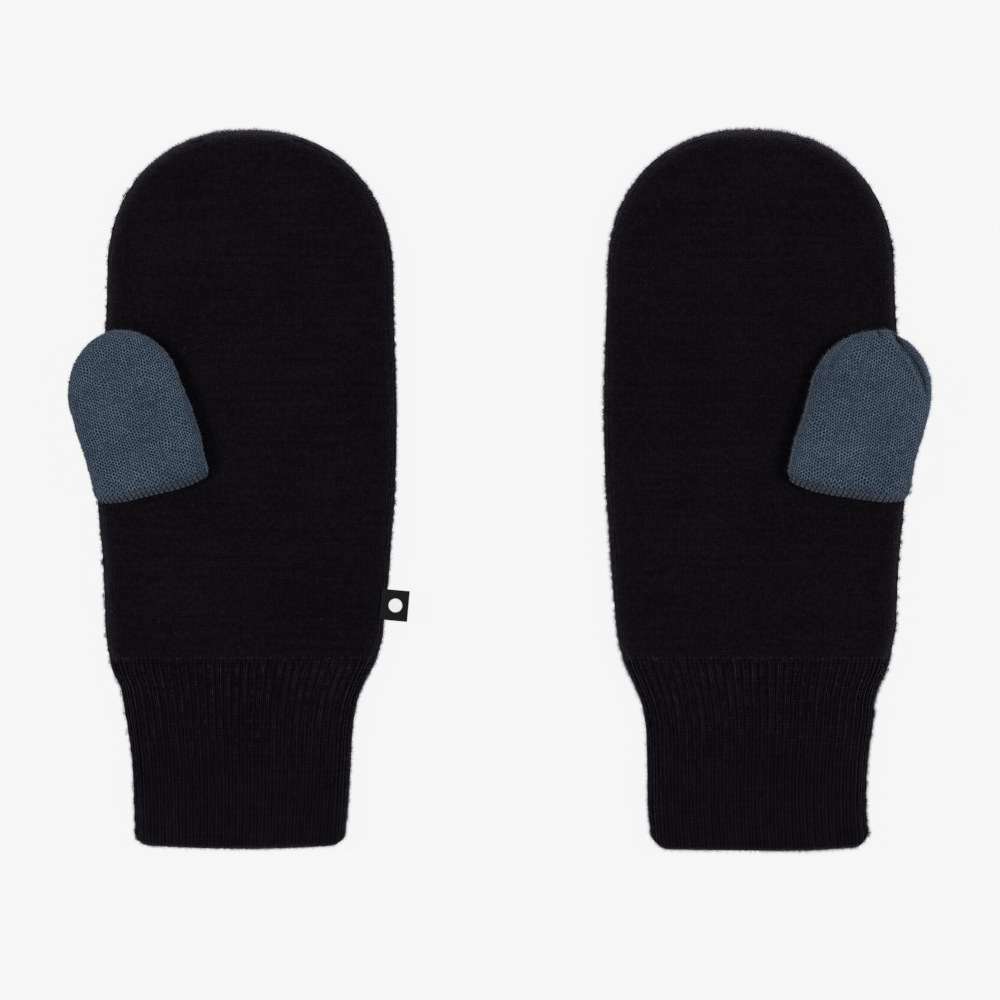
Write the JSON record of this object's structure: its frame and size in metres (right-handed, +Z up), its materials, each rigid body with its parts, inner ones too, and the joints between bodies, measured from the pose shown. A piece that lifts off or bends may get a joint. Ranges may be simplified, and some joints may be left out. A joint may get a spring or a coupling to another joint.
{
  "type": "pair of knitted mittens",
  "caption": "Pair of full knitted mittens lying palm up, with double ribbed cuffs, soft linings and contrasting thumbs sewn onto the palms.",
  "frame": {"origin": "on the surface that the pair lies on, under the middle of the pair", "axes": "+X from the left-hand mitten to the right-hand one, +Y towards the fingertips, +Z up out of the palms"},
  "size_m": [0.288, 0.24, 0.0253],
  "materials": {
    "hand_knit": "fine stocking-stitch wool knit, near black, lightly fuzzy",
    "cuff_rib": "one-by-one wool rib, near black, lightly fuzzy",
    "thumb_knit": "fine stocking-stitch wool knit, slate blue, lightly fuzzy",
    "lining": "soft brushed fleece",
    "seam_yarn": "linked wool yarn",
    "label_tape": "tight satin-woven tape",
    "motif_yarn": "fine woven yarn"
  },
  "bodies": {
    "left_hand": {"left_hand_shell": "hand_knit", "left_hand_lining": "lining", "left_side_seam": "seam_yarn", "left_wrist_seam": "seam_yarn", "left_thumb_seam": "seam_yarn"},
    "left_cuff": {"left_cuff_outer": "cuff_rib", "left_cuff_inner": "cuff_rib"},
    "left_thumb": {"left_thumb_shell": "thumb_knit", "left_thumb_lining": "lining"},
    "left_label": {"left_label": "label_tape", "left_label_motif": "motif_yarn"},
    "right_hand": {"right_hand_shell": "hand_knit", "right_hand_lining": "lining", "right_side_seam": "seam_yarn", "right_wrist_seam": "seam_yarn", "right_thumb_seam": "seam_yarn"},
    "right_cuff": {"right_cuff_outer": "cuff_rib", "right_cuff_inner": "cuff_rib"},
    "right_thumb": {"right_thumb_shell": "thumb_knit", "right_thumb_lining": "lining"}
  },
  "joints": [
    {"name": "left_wrist_bend", "type": "hinge", "parent": "left_hand", "child": "left_cuff", "pos_m": [-0.0857, -0.06075, 0.014], "axis": [-1, 0, 0], "range_deg": [0, 80]},
    {"name": "left_thumb_lift", "type": "hinge", "parent": "left_hand", "child": "left_thumb", "pos_m": [-0.11497, 0.0006, 0.0143], "axis": [0.9716, 0.2367, 0], "range_deg": [0, 90]},
    {"name": "label_flap", "type": "hinge", "parent": "left_hand", "child": "left_label", "pos_m": [-0.0386, -0.038, 0.011], "axis": [0.0899, 0.996, 0], "range_deg": [-70, 40], "stiffness_Nm_per_rad": 0.00002},
    {"name": "right_mitten_lift", "type": "slide", "parent": "left_hand", "child": "right_hand", "axis": [0, 0, 1], "range_m": [0, 0.1]},
    {"name": "right_wrist_bend", "type": "hinge", "parent": "right_hand", "child": "right_cuff", "pos_m": [0.0857, -0.06075, 0.014], "axis": [-1, 0, 0], "range_deg": [0, 80]},
    {"name": "right_thumb_lift", "type": "hinge", "parent": "right_hand", "child": "right_thumb", "pos_m": [0.11647, -0.0004, 0.0143], "axis": [0.9895, -0.1445, 0], "range_deg": [0, 90]}
  ]
}
